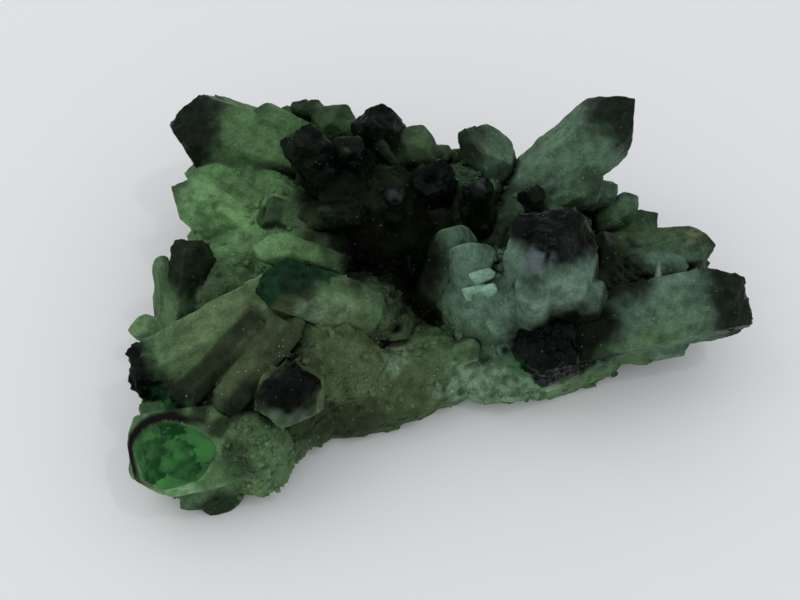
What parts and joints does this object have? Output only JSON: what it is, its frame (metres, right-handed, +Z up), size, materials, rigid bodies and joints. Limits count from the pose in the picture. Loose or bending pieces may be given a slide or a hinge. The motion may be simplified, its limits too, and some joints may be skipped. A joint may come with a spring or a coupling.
{
  "type": "skeletal quartz cluster",
  "caption": "Cluster of green frosted skeletal quartz: stout hexagonal points with dark glassy ends, grown from one root and cut flat beneath, for display",
  "frame": {"origin": "middle of the flat cut under the cluster, on the plane that it rests on", "axes": "+Z up out of the flat cut, +X along the longest side towards the tabular eastern crystals, -Y towards the viewer"},
  "size_m": [0.198, 0.1392, 0.065],
  "materials": {
    "green_quartz": "frosted milky crystal with dark glassy ends"
  },
  "bodies": {
    "root": {"quartz_cluster": "green_quartz"}
  },
  "joints": []
}
